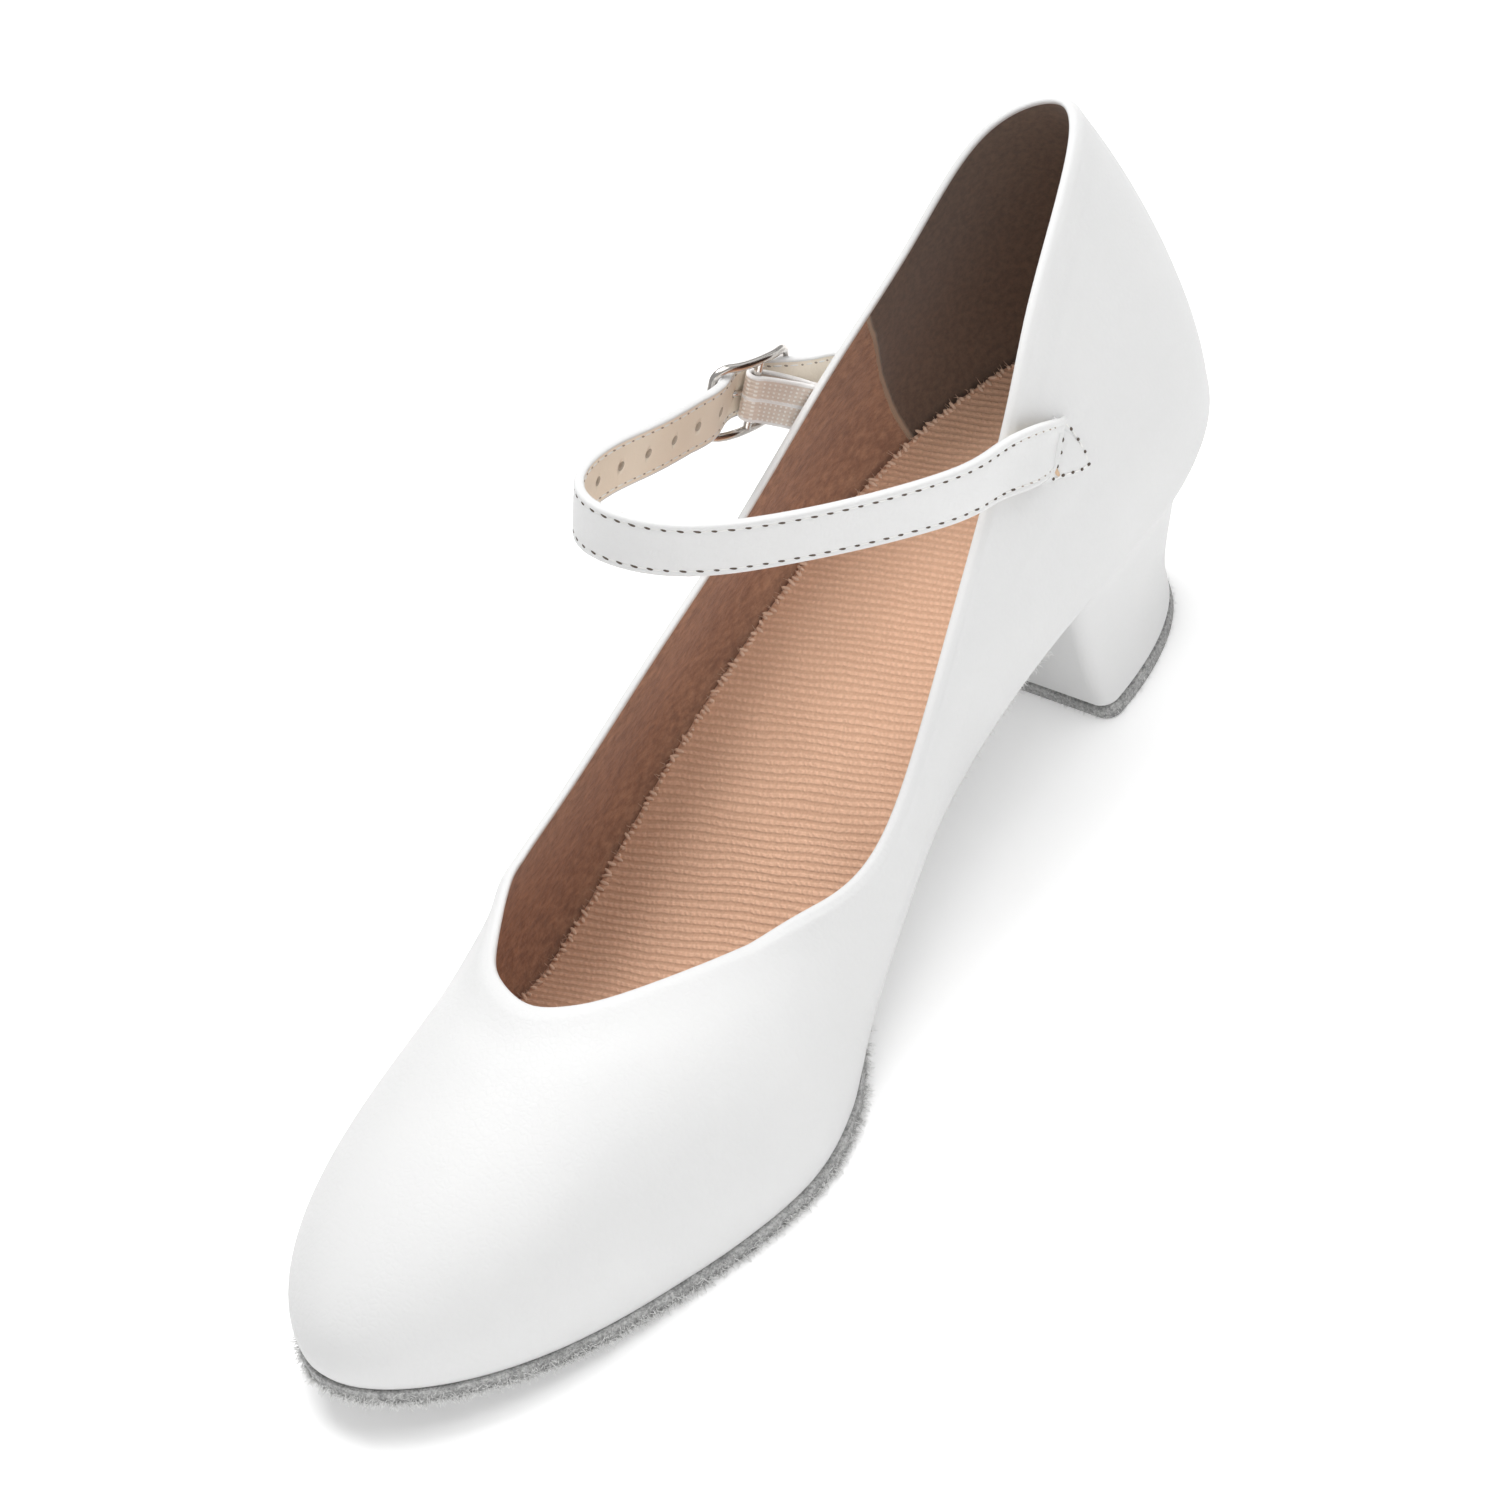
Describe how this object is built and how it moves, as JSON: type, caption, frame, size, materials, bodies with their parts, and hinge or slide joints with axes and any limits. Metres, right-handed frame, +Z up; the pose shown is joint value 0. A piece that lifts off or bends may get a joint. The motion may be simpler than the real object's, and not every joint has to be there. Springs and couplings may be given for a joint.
{
  "type": "character shoe",
  "caption": "Right-foot dance shoe with a low Cuban heel, a rounded toe, an open hollow upper and an instep strap held by a buckle on an elastic loop.",
  "frame": {"origin": "centre of the heel tip's resting face, on the floor", "axes": "+Z up, -Y to the toe, +Y to the back of the heel, +X to the inner side of the foot"},
  "size_m": [0.0788, 0.2487, 0.1034],
  "materials": {
    "white_leather": "smooth white leather, soft gloss",
    "sock_fabric": "tan ribbed fabric, matt",
    "sole_suede": "grey suede, matt",
    "heel_leather": "smooth white leather, soft gloss",
    "tip_suede": "grey suede, matt",
    "strap_leather": "smooth white leather, beige inside",
    "elastic_web": "ribbed elastic web",
    "nickel": "polished nickel plate",
    "prong_nickel": "polished nickel plate"
  },
  "bodies": {
    "root": {"upper": "white_leather", "insole": "sock_fabric", "outsole": "sole_suede", "heel": "heel_leather", "heel_tip": "tip_suede", "strap": "strap_leather", "elastic": "elastic_web", "buckle": "nickel", "prong": "prong_nickel"}
  },
  "joints": []
}
